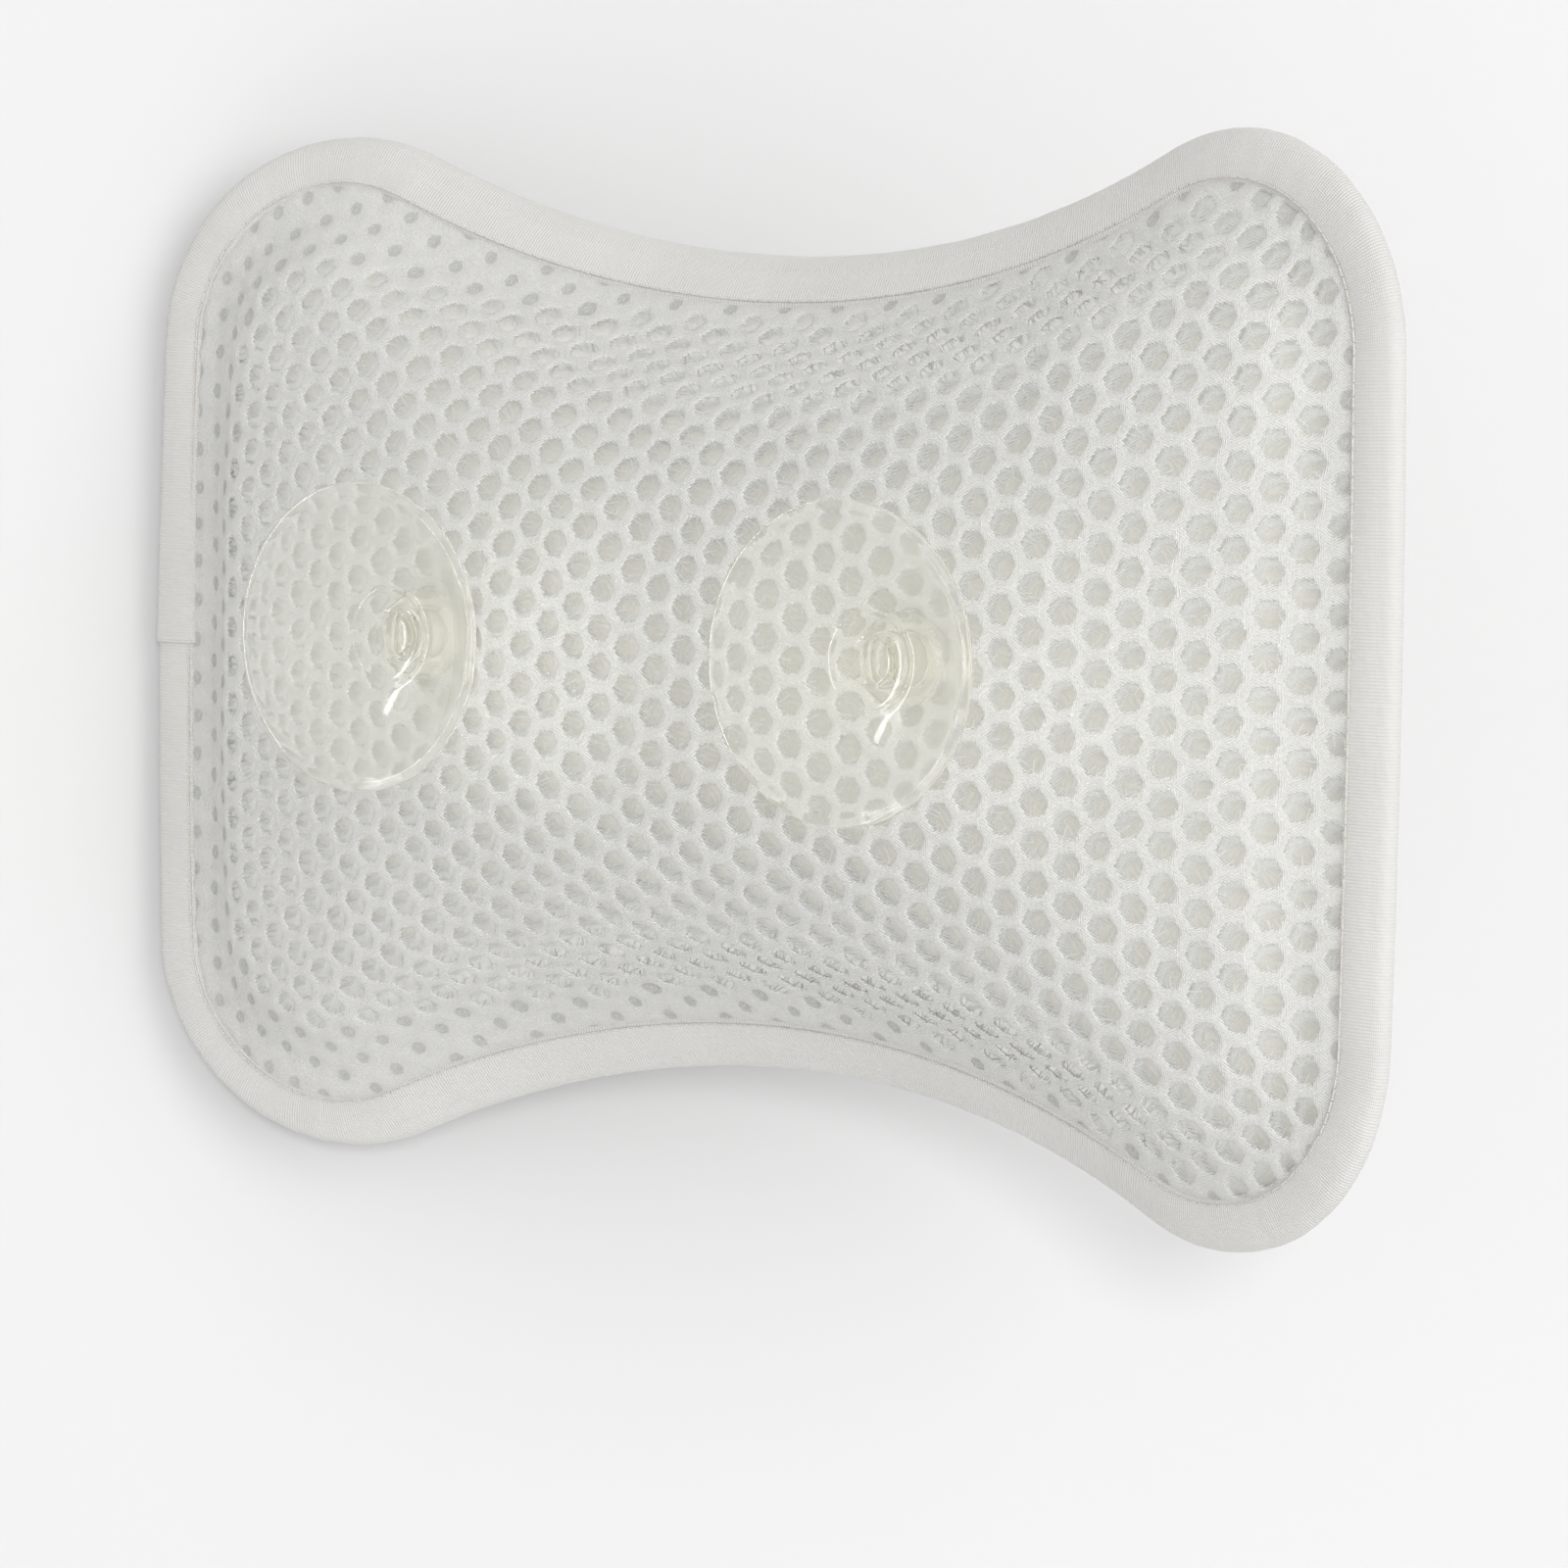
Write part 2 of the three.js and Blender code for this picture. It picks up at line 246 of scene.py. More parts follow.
def mathNode(tree, operation, first, second=None, third=None):
    node = tree.nodes.new("ShaderNodeMath")
    node.operation = operation
    for socket, value in zip(node.inputs, (first, second, third)):
        if isinstance(value, (int, float)):
            socket.default_value = value
        elif value is not None:
            tree.links.new(value, socket)
    return node.outputs[0]


def mapRange(tree, value, low, high):
    node = tree.nodes.new("ShaderNodeMapRange")
    setInputs(node, {"From Min": low, "From Max": high})
    tree.links.new(value, node.inputs["Value"])
    return node


def mixShaders(tree, share, first, second):
    mix = tree.nodes.new("ShaderNodeMixShader")
    for value, socket in zip((share, first.outputs[0], second.outputs[0]), mix.inputs):
        tree.links.new(value, socket)
    return mix


def noiseNode(tree, scale, detail=2):  # noise on object coordinates
    place, spots = newNodes(tree, "TexCoord", "TexNoise")
    setInputs(spots, {"Scale": scale, "Detail": detail})
    tree.links.new(place.outputs["Object"], spots.inputs["Vector"])
    return spots


def yarnGroup():
    # twisted filaments: u runs along the yarn, v across it
    sockets = [("Vector", "Vector"), ("Turns", "Float"), ("Filaments", "Float"), ("Plait", "Float")]
    tree, inp, out = newGroup("yarnTwist", sockets, "Height", "Float")
    link = tree.links.new
    split, place, spot, pick, where, streak = newNodes(
        tree, "SeparateXYZ", "TexCoord", "SeparateXYZ", "Mix", "CombineXYZ", "TexNoise")
    link(inp.outputs["Vector"], split.inputs[0])
    link(place.outputs["Object"], spot.inputs[0])
    mid = mathNode(tree, "SUBTRACT", split.outputs[1], 0.5)
    link(inp.outputs["Plait"], pick.inputs[0])  # a plait mirrors its filaments about the middle line
    link(mid, pick.inputs[2])
    link(mathNode(tree, "ABSOLUTE", mid), pick.inputs[3])
    across, filaments = pick.outputs[0], inp.outputs["Filaments"]
    along = mathNode(tree, "MULTIPLY", split.outputs[0], inp.outputs["Turns"])
    twist = mathNode(tree, "MULTIPLY_ADD", across, filaments, along)
    wave = mathNode(tree, "SINE", mathNode(tree, "MULTIPLY", twist, 2 * math.pi))
    fine = mathNode(tree, "MULTIPLY", filaments, 2.2)
    slant = mathNode(tree, "ADD", spot.outputs[0], spot.outputs[2])
    link(along, where.inputs[0])
    link(mathNode(tree, "MULTIPLY_ADD", across, fine, along), where.inputs[1])
    link(mathNode(tree, "MULTIPLY", slant, 160), where.inputs[2])
    link(where.outputs[0], streak.inputs["Vector"])
    setInputs(streak, {"Scale": 1.6, "Detail": 2})
    fuzz = mathNode(tree, "SUBTRACT", noiseNode(tree, 2300).outputs["Fac"], 0.2)
    wave = mathNode(tree, "MULTIPLY", wave, 0.2)
    twisted = mathNode(tree, "MULTIPLY_ADD", streak.outputs["Fac"], 0.9, wave)
    link(mathNode(tree, "MULTIPLY_ADD", fuzz, 0.75, twisted), out.inputs["Height"])
    return tree


def toneGroup():
    # slow change of tone over a cloth, between two colours, with painted shade between its filaments:
    # darker where the yarn relief is low, a little lighter on its tops
    sockets = [("Light", "Color"), ("Dark", "Color")]
    sockets += [(name, "Float") for name in ("Scale", "Relief", "Depth")]
    tree, inp, out = newGroup("clothToneAndShade", sockets, "Color", "Color")
    link = tree.links.new
    spots = noiseNode(tree, 5, 4)
    link(inp.outputs["Scale"], spots.inputs["Scale"])
    mix, shade = newNodes(tree, "Mix", "Mix")
    mix.data_type = shade.data_type = "RGBA"
    link(mapRange(tree, spots.outputs["Fac"], 0.3, 0.7).outputs[0], mix.inputs[0])
    link(inp.outputs["Dark"], mix.inputs[6])
    link(inp.outputs["Light"], mix.inputs[7])
    # painted shade: the relief scales the colour down between the filaments
    gap, brightest = mapRange(tree, inp.outputs["Relief"], 0.4, 0.9), 1.04
    gap.inputs["To Max"].default_value = brightest
    link(mathNode(tree, "SUBTRACT", brightest, inp.outputs["Depth"]), gap.inputs["To Min"])
    shade.blend_type = "MULTIPLY"
    shade.inputs[0].default_value = 1
    link(mix.outputs[2], shade.inputs[6])
    link(gap.outputs[0], shade.inputs[7])
    link(shade.outputs[2], out.inputs["Color"])
    return tree


yarnTwist, clothToneAndShade = yarnGroup(), toneGroup()


def addTone(tree, skin, finish):
    tone = tree.nodes.new("ShaderNodeGroup")
    tone.node_tree = clothToneAndShade
    setInputs(tone, {"Light": (*finish["light"], 1), "Dark": (*finish["dark"], 1),
                     "Scale": finish["toneScale"], "Depth": finish["filamentShadeDepth"]})
    tree.links.new(tone.outputs["Color"], skin.inputs["Base Color"])
    return tone


def addBump(tree, skin, height, strength, distance):
    dent = tree.nodes.new("ShaderNodeBump")
    setInputs(dent, {"Strength": strength, "Distance": distance})
    tree.links.new(height, dent.inputs["Height"])
    tree.links.new(dent.outputs["Normal"], skin.inputs["Normal"])


def clothMaterial(name, finish):
    mat, tree, skin = newMaterial(name)
    link = tree.links.new
    tone = addTone(tree, skin, finish)
    uv, yarn = newNodes(tree, "UVMap", "Group")
    uv.uv_map, yarn.node_tree = "strand", yarnTwist
    setInputs(yarn, {"Turns": finish["turns"], "Filaments": finish["filaments"], "Plait": finish["plait"]})
    link(uv.outputs["UV"], yarn.inputs["Vector"])
    height = yarn.outputs["Height"]
    # the yarn height also paints shade between the filaments
    link(height, tone.inputs["Relief"])
    addBump(tree, skin, height, finish["bump"], 0.0003)
    setInputs(skin, {"Roughness": finish["rough"], "Sheen Weight": finish["sheen"], "Sheen Roughness": 0.4,
                     "Specular IOR Level": 0.5})
    if "fray" in finish:  # loose filaments along the edges of a strand
        rim, turned = newNodes(tree, "Attribute", "NewGeometry")
        rim.attribute_name = "fray"
        loose = mathNode(tree, "SUBTRACT", height, 0.65)
        reach = mathNode(tree, "MULTIPLY_ADD", loose, finish["fray"], rim.outputs["Fac"])
        front = mathNode(tree, "SUBTRACT", 1, turned.outputs["Backfacing"])
        cover = mapRange(tree, reach, 0.05, 0.5).outputs[0]
        link(mathNode(tree, "MULTIPLY", cover, front), skin.inputs["Alpha"])
    if "paintedSheen" in finish:  # painted sheen: the colour is mixed towards white where the pile is seen from the side
        look, both = newNodes(tree, "LayerWeight", "Mix")
        look.inputs["Blend"].default_value = 0.5
        both.data_type = "RGBA"
        link(mapRange(tree, look.outputs["Facing"], 0.2, 0.65).outputs[0], both.inputs[0])
        link(tone.outputs["Color"], both.inputs[6])
        both.inputs[7].default_value = (*finish["paintedSheen"], 1)
        link(both.outputs[2], skin.inputs["Base Color"])
    return mat


def letThrough(mat, share):  # thin white cloth passes part of the light that falls on it
    tree = mat.node_tree
    path, clear = newNodes(tree, "LightPath", "BsdfTransparent")
    soft = mathNode(tree, "MAXIMUM", path.outputs["Is Shadow Ray"], path.outputs["Is Diffuse Ray"])
    passed = mathNode(tree, "MULTIPLY", soft, share)
    mix = mixShaders(tree, passed, tree.nodes["Principled BSDF"], clear)
    tree.links.new(mix.outputs[0], tree.nodes["Material Output"].inputs["Surface"])


meshWhite = clothMaterial("airMeshYarn", {
    "light": (0.75, 0.745, 0.715), "dark": (0.72, 0.715, 0.685), "toneScale": 60, "filamentShadeDepth": 0.2,
    "turns": 4, "filaments": 5, "plait": 1, "bump": 0.7, "rough": 0.32, "sheen": 0.2, "fray": 0.9})
# the lower knit is coloured darker than the strands as painted shade at the bottom of the holes
groundShadedWhite = clothMaterial("groundYarn", {
    "light": (0.69, 0.69, 0.66), "dark": (0.65, 0.65, 0.62), "toneScale": 60, "filamentShadeDepth": 0.2,
    "turns": 4, "filaments": 5, "plait": 1, "bump": 0.4, "rough": 0.6, "sheen": 0.05,
    "paintedSheen": (0.95, 0.945, 0.91)})
# the pile's own beige tint, darkened further as painted shade deep in the holes
pileBeigeShaded = clothMaterial("pileYarn", {
    "light": (0.61, 0.60, 0.55), "dark": (0.57, 0.56, 0.51), "toneScale": 160, "filamentShadeDepth": 0.08,
    "turns": 3, "filaments": 3, "plait": 0, "bump": 0.3, "rough": 0.8, "sheen": 0.05,
    "paintedSheen": (0.95, 0.94, 0.90)})
pileWhite = clothMaterial("spacerYarn", {
    "light": (0.76, 0.76, 0.735), "dark": (0.73, 0.73, 0.705), "toneScale": 160, "filamentShadeDepth": 0,
    "turns": 3, "filaments": 2, "plait": 0, "bump": 0, "rough": 0.5, "sheen": 0})
threadBeige = clothMaterial("sewingThread", {
    "light": (0.8, 0.78, 0.725), "dark": (0.755, 0.73, 0.67), "toneScale": 200, "filamentShadeDepth": 0.15,
    "turns": 4, "filaments": 2, "plait": 0, "bump": 0.8, "rough": 0.5, "sheen": 0.1})


fibreFinish = {
    "light": (0.90, 0.89, 0.86), "dark": (0.82, 0.81, 0.77), "toneScale": 140, "filamentShadeDepth": 0, "relief": 0.8,
    "fibres": 500, "bump": 0.8, "rough": 0.9, "specular": 0.1,
}


def fillMaterial(finish):
    mat, tree, skin = newMaterial("fibreFill")
    addTone(tree, skin, finish).inputs["Relief"].default_value = finish["relief"]
    addBump(tree, skin, noiseNode(tree, finish["fibres"], 5).outputs["Fac"], finish["bump"], 0.001)
    setInputs(skin, {"Roughness": finish["rough"], "Specular IOR Level": finish["specular"]})
    return mat


tapeFinish = {
    "light": (0.745, 0.735, 0.71), "dark": (0.715, 0.705, 0.68), "toneScale": 45, "filamentShadeDepth": 0.07,
    "ribPitch": 0.62, "threadPitch": 0.45,  # millimetres, along and across the tape
    "bump": 0.6, "rough": 0.7, "sheen": 0.15, "specular": 0.3,
}


def tapeMaterial(finish):
    mat, tree, skin = newMaterial("bindingTape")
    tone = addTone(tree, skin, finish)
    uv, split = newNodes(tree, "UVMap", "SeparateXYZ")
    uv.uv_map = "tape"
    tree.links.new(uv.outputs["UV"], split.inputs[0])
    ribs, threads = (mathNode(tree, "SINE", mathNode(tree, "MULTIPLY", way, 2 * math.pi / finish[pitch]))
                     for way, pitch in zip(split.outputs, ("ribPitch", "threadPitch")))
    weave = mathNode(tree, "MULTIPLY_ADD", threads, 0.5, ribs)
    # the weave's relief also paints shade between its threads
    tree.links.new(mathNode(tree, "MULTIPLY_ADD", weave, 0.18, 0.65), tone.inputs["Relief"])
    addBump(tree, skin, weave, finish["bump"], 0.00012)
    setInputs(skin, {"Roughness": finish["rough"], "Sheen Weight": finish["sheen"],
                     "Specular IOR Level": finish["specular"]})
    return mat


vinylFinish = {
    "color": (0.97, 0.97, 0.95), "rough": 0.11, "ior": 1.14, "transmission": 0.95,
    "coat": 0.35, "coatRough": 0.06, "ripple": 90, "rippleBump": 0.15,
    "shadow": (0.93, 0.93, 0.90), "tint": (0.95, 0.93, 0.76), "density": 14,
    "milk": (0.86, 0.85, 0.77), "milkFrom": 0.35, "milkFull": 0.95, "milkMost": 0.45,
}


def vinylMaterial(finish):
    mat, tree, skin = newMaterial("clearVinyl")
    link = tree.links.new
    setInputs(skin, {"Base Color": (*finish["color"], 1), "Roughness": finish["rough"],
                     "IOR": finish["ior"], "Transmission Weight": finish["transmission"],
                     "Coat Weight": finish["coat"], "Coat Roughness": finish["coatRough"]})
    addBump(tree, skin, noiseNode(tree, finish["ripple"]).outputs["Fac"], finish["rippleBump"], 0.001)
    path, clear, look, milk, tint = newNodes(
        tree, "LightPath", "BsdfTransparent", "LayerWeight", "BsdfTranslucent", "VolumeAbsorption")
    look.inputs["Blend"].default_value = 0.5  # soft vinyl turns milky where it is seen along its wall
    part = mapRange(tree, look.outputs["Facing"], finish["milkFrom"], finish["milkFull"])
    part.inputs["To Max"].default_value = finish["milkMost"]
    milk.inputs["Color"].default_value = (*finish["milk"], 1)
    clear.inputs["Color"].default_value = (*finish["shadow"], 1)
    veil = mixShaders(tree, part.outputs[0], skin, milk)
    mix = mixShaders(tree, path.outputs["Is Shadow Ray"], veil, clear)
    out = tree.nodes["Material Output"]
    link(mix.outputs[0], out.inputs["Surface"])
    setInputs(tint, {"Color": (*finish["tint"], 1), "Density": finish["density"]})
    link(tint.outputs[0], out.inputs["Volume"])
    return mat


fibreWhite, tapeWhite = fillMaterial(fibreFinish), tapeMaterial(tapeFinish)
clearVinyl = vinylMaterial(vinylFinish)
for cloth, share in ((meshWhite, 0.8), (pileWhite, 0.8), (groundShadedWhite, 0.5), (pileBeigeShaded, 0.5),
                     (tapeWhite, 0.4), (fibreWhite, 0.3)):
    letThrough(cloth, share)
print("materials made")


# air mesh: a hexagon net of knitted strands over a second knit with dimples in place of holes
airMesh = {
    "rise": 7.78, "step": 6.47,  # distance between holes up the cloth, and between columns
    "columns": 6, "rows": 5,  # doublings: 64 columns of 32
    "strand": 2.5, "shoulder": 0.6, "opening": (1.04, 0.92), "corner": 0.9, "thickness": 1.2, "edge": 2.6,
    "softness": 0.5,  # share of the cloth's own normal in the strand's shading
}
groundMesh = {
    "rise": 7.78, "step": 6.47, "columns": 6, "rows": 5,
    "strand": 2.1, "shoulder": 0.6, "opening": (1.0, 1.0), "corner": 0.9, "thickness": 2.0,
    "depth": 2.4, "wall": 0.3, "softness": 0.7,
    "shift": (-1.5, 0.35), "drift": (0.0204, -0.0205),  # the two layers of the knit run out of step
}
spacerYarn = {
    "perCell": 18, "radius": 0.1, "lean": 0.8, "softness": 0.85,
    "jitter": 0.3, "inset": 0.45, "spread": (0.98, 1.12),
    "top": 0.7, "foot": 0.5, "edge": 0.4, "fromSeam": 2,
}
closing = {  # holes close towards the seam
    "start": 0.5, "range": 3, "least": 0.2, "openFrom": 0.55,
    "inward": 1.8, "rightEnd": 125, "rightFade": 25,  # they stay open longest at the right end
    "leftReach": 110, "lowReach": 60, "lowEnd": 70, "lowFade": 60, "lowShare": 0.25,
    "drawnStart": 10, "drawnRange": 9,  # the left and the lower edge are drawn in more
    "shoulder": 0.12, "dimple": 0.58,  # depths, as shares of the cloth's thickness
}
looseWaves = (  # size, lengths across and up the cloth, start
    ((0.28, 5.3, 9.1, 0), (0.22, -13.7, 4.1, 1.3), (0.5, 31, 23, 0)),
    ((0.25, -8.3, 5.9, 0.7), (0.2, 4.7, 12.9, 0), (0.5, 27, -35, 2)),
)
nearSeam = {
    "puff": 0.9, "puffFrom": 0.2, "puffRange": 3, "puffEnd": 8,  # the cloth puffs up beside the seam
    "pressFrom": 5, "pressRange": 12, "pressLeast": 0.3,  # and is pressed flat under the tape
}


def layCloth(side):
    # lengths along the middle line and up each column, so that the net keeps its pitch on the crown
    xs, zs = np.arange(-170, 170.5, 1.0), np.arange(-125, 125.5, 1.0)
    y = faceY(side, xs[:, None], zs[None, :])
    mid = y[:, len(zs) // 2]
    across = np.concatenate([[0], np.cumsum(np.hypot(np.diff(xs), np.diff(mid)))])
    across -= across[len(xs) // 2]
    climb = np.cumsum(np.hypot(1.0, np.diff(y, axis=1)), axis=1)
    up = np.concatenate([np.zeros((len(xs), 1)), climb], axis=1)
    up -= up[:, [len(zs) // 2]]

    def toPlan(s, t):
        x = np.interp(s, across, xs)
        col = np.clip((x - xs[0]).astype(int), 0, len(xs) - 2)
        part = x - xs[col]
        low = np.array([np.interp(b, up[c], zs) for b, c in zip(t, col)])
        high = np.array([np.interp(b, up[c + 1], zs) for b, c in zip(t, col)])
        return x, low + (high - low) * part

    return toPlan


def pressed(side, x, z, y, level):  # the hub of a cup pushes the cloth in
    if side > 0:
        return y
    r = np.minimum(*(np.hypot(x - cx, z - pillow["drop"]) for cx in (-pillow["cupX"], pillow["cupX"])))
    k = smooth((pillow["hubRadius"] + pillow["dentReach"] - r) / pillow["dentSlope"])
    return np.maximum(y, y + (level - y) * k)


def roundNeck(side, x, z):  # cloth parts round the neck of a cup
    if side > 0:
        return x, z
    radius, parting = pillow["neckRadius"] + pillow["neckClear"], pillow["parting"]
    for cx in (-pillow["cupX"], pillow["cupX"]):
        dx, dz = x - cx, z - pillow["drop"]
        r = np.maximum(np.hypot(dx, dz), 1e-4)
        apart = (radius + r * (parting - 1) / parting) / r
        k = np.where(r < radius * parting, np.maximum(apart, 1), 1)
        x, z = cx + dx * k, pillow["drop"] + dz * k
    return x, z


def honeycomb(spec, side, shift):
    bm = bmesh.new()
    bm.verts.layers.float.new("fray")
    bmesh.ops.create_circle(bm, cap_ends=True, segments=6, radius=spec["rise"] / math.sqrt(3))
    bmesh.ops.rotate(bm, verts=bm.verts[:], cent=(0, 0, 0), matrix=Matrix.Rotation(math.pi / 2, 3, "Z"))
    bmesh.ops.scale(bm, verts=bm.verts[:], vec=(spec["step"] / (spec["rise"] * math.sqrt(3) / 2), 1, 1))
    moves = [(0, spec["rise"] * 2 ** k) for k in range(spec["rows"])]
    moves += [(spec["step"], spec["rise"] / 2)]
    moves += [(spec["step"] * 2 ** k, 0) for k in range(1, spec["columns"])]
    for move in moves:  # every copy doubles the field
        bmesh.ops.translate(bm, verts=copyAll(bm), vec=(*move, 0))
    middle = (spec["step"] * (2 ** spec["columns"] // 2), spec["rise"] * (2 ** spec["rows"] // 2))
    bmesh.ops.translate(bm, verts=bm.verts[:], vec=(shift[0] - middle[0], shift[1] - middle[1], 0))
    bmesh.ops.remove_doubles(bm, verts=bm.verts[:], dist=0.01)
    toPlan = layCloth(side)
    centres = np.array([f.calc_center_median()[:2] for f in bm.faces])
    depth = edgeDepth(*toPlan(centres[:, 0], centres[:, 1]))
    bmesh.ops.delete(bm, geom=[f for f, d in zip(bm.faces[:], depth) if d < -1.0], context="FACES")
    bmesh.ops.subdivide_edges(bm, edges=bm.edges[:], cuts=1)
    return bm, toPlan


def holeShare(spec, x, z):  # how far each hole is open, from least to 1
    below = np.clip(-z / spec["lowReach"], 0, 1) * np.clip((spec["lowEnd"] - x) / spec["lowFade"], 0, 1)
    drawn = np.maximum(np.clip(-x / spec["leftReach"], 0, 1) ** 2, spec["lowShare"] * below)
    left = np.clip((spec["rightEnd"] - x) / spec["rightFade"], 0, 1)
    start = spec["start"] + spec["inward"] * left + spec["drawnStart"] * drawn
    k = (edgeDepth(x, z) - pillow["sewn"] - start) / (spec["range"] + spec["drawnRange"] * drawn)
    return spec["least"] + (1 - spec["least"]) * smooth(k)


def strandRings(bm, spec, low, toPlan):
    # two rings inside every cell give the strands their round section
    cells = bm.faces[:]
    middles = [f.calc_center_median() for f in cells]
    spots = np.array([c[:2] for c in middles])
    shares = holeShare(closing, *toPlan(spots[:, 0], spots[:, 1]))
    opened = shares > closing["openFrom"]  # the others are dimples
    fray = bm.verts.layers.float["fray"]
    for v in bm.verts:
        v[fray] = 1
    shoulder = -closing["shoulder"] * spec["thickness"]
    for thickness, z, full in ((spec["strand"] / 2 * spec["shoulder"], shoulder, 0),
                               (spec["strand"] / 2 * (1 - spec["shoulder"]), low, 1)):
        bmesh.ops.inset_individual(bm, faces=cells, thickness=thickness, use_even_offset=True)
        dimple = shoulder - closing["dimple"] * spec["thickness"] * full
        for f, c, share, isOpen in zip(cells, middles, shares, opened):
            wide, high = (share * w for w in spec["opening"]) if full else (1, 1)
            for v in f.verts:
                d = v.co - c
                k = 1 - full * (1 - spec["corner"]) * abs(math.cos(3 * math.atan2(d.y, d.x)))
                v.co = (c.x + d.x * k * wide, c.y + d.y * k * high, z if isOpen else dimple)
                v[fray] = 1 - full * isOpen
    return [f for f, isOpen in zip(cells, opened) if isOpen], middles


def strandMap(bm, spec, middles):
    # u along each side of a hexagon, v across its strand
    tree = KDTree(len(middles))
    for i, c in enumerate(middles):
        tree.insert((c.x, c.y, 0), i)
    tree.balance()
    uv = bm.loops.layers.uv.new("strand")
    length = spec["rise"] / math.sqrt(3)
    for f in bm.faces:
        here = f.calc_center_median()
        c = tree.find((here.x, here.y, 0))[0]
        side = int(math.floor(math.atan2(here.y - c.y, here.x - c.x) / (math.pi / 3))) % 6
        out = math.pi / 3 * (side % 3 + 0.5)
        for loop in f.loops:
            d = loop.vert.co - c
            far = abs(d.x * math.cos(out) + d.y * math.sin(out)) - spec["rise"] / 2
            u = (-d.x * math.sin(out) + d.y * math.cos(out)) / length + 0.5
            loop[uv].uv = (u, 0.5 + (far if side < 3 else -far) / spec["strand"])


def loosen(st):  # the knit is never quite even
    s, t = st[:, 0], st[:, 1]
    moves = [sum(size * np.sin(s / across + t / up + start) for size, across, up, start in waves)
             for waves in looseWaves]
    return st + np.stack(moves, -1)


def placePoints(flat, side, toPlan, edge, drift=(0, 0)):
    st = loosen(flat[:, :2]) + flat[:, :1] * np.array([drift])
    x, z = toPlan(st[:, 0], st[:, 1])
    x, z = roundNeck(side, x, z)
    x, z = pullInside(x, z, edge)
    inside = edgeDepth(x, z)
    spec, fromSeam = nearSeam, inside - pillow["sewn"]
    deep = flat[:, 2] * np.clip((fromSeam + spec["pressFrom"]) / spec["pressRange"], spec["pressLeast"], 1)
    inner = np.clip((fromSeam + spec["puffFrom"]) / spec["puffRange"], 0, spec["puffEnd"])
    puff = spec["puff"] * inner ** 2 * (3 - 2 * np.minimum(inner, 1)) / np.maximum(inner, 1) ** 3
    p = np.stack([x, faceY(side, x, z), z], -1) + faceNormal(side, x, z) * (puff + deep)[:, None]
    p[:, 1] = pressed(side, p[:, 0], p[:, 2], p[:, 1], pillow["hubFace"] + pillow["hubClear"] - deep)
    p[:, 2] -= pillow["drop"]
    return p * mm, inside


def placeNet(bm, side, toPlan, drift=(0, 0)):
    places, _ = placePoints(np.array([list(v.co) for v in bm.verts]), side, toPlan, airMesh["edge"], drift)
    for v, q in zip(bm.verts, places):
        v.co = q
    bmesh.ops.dissolve_degenerate(bm, edges=bm.edges[:], dist=0.00005)
    bmesh.ops.recalc_face_normals(bm, faces=bm.faces[:])
    if bm.calc_volume(signed=True) < 0:
        bmesh.ops.reverse_faces(bm, faces=bm.faces[:])


def softNormals(piece, side, share):  # thin yarn glows all round: its normals lean to the cloth's
    mesh = piece.data
    place, turn = vertexArray(mesh, "co") / mm, vertexArray(mesh, "normal")
    turn = turn * (1 - share) + faceNormal(side, place[:, 0], place[:, 2] + pillow["drop"]) * share
    mesh.normals_split_custom_set_from_vertices(turn / np.linalg.norm(turn, axis=1, keepdims=True))


def makeNet(side, name):
    bm, toPlan = honeycomb(airMesh, side, (0, 0))
    border = [v for v in bm.verts if v.is_boundary]
    half = -airMesh["thickness"] / 2
    cells, middles = strandRings(bm, airMesh, half, toPlan)
    bmesh.ops.delete(bm, geom=cells, context="FACES_ONLY")
    strandMap(bm, airMesh, middles)
    for v in border:
        v.co.z = half
    bmesh.ops.scale(bm, verts=copyAll(bm), vec=(1, 1, -1), space=Matrix.Translation((0, 0, -half)))
    bmesh.ops.remove_doubles(bm, verts=bm.verts[:], dist=0.01)
    placeNet(bm, side, toPlan)
    piece = makePiece(name, bm, meshWhite, "pillow")
    softNormals(piece, side, airMesh["softness"])
    return piece, middles, toPlan


def makeGround(side, name):
    bm, toPlan = honeycomb(groundMesh, side, groundMesh["shift"])
    cells, middles = strandRings(bm, groundMesh, -groundMesh["thickness"] / 2, toPlan)
    for f in cells:
        f.material_index = 1
    strandMap(bm, groundMesh, middles)
    bmesh.ops.translate(bm, verts=bm.verts[:], vec=(0, 0, -groundMesh["depth"]))
    placeNet(bm, side, toPlan, groundMesh["drift"])
    outward(bm, side)
    piece = makePiece(name, bm, groundShadedWhite, "pillow")
    piece.data.materials.append(pileBeigeShaded)
    softNormals(piece, side, groundMesh["softness"])
    mod = piece.modifiers.new("thickness", "SOLIDIFY")
    mod.thickness, mod.offset = groundMesh["wall"] * mm, -1
    return piece


def outward(bm, side):  # all faces of a net look away from the filling
    total = sum((f.normal.y * f.calc_area() for f in bm.faces), 0.0)
    if total * side < 0:
        bmesh.ops.reverse_faces(bm, faces=bm.faces[:])


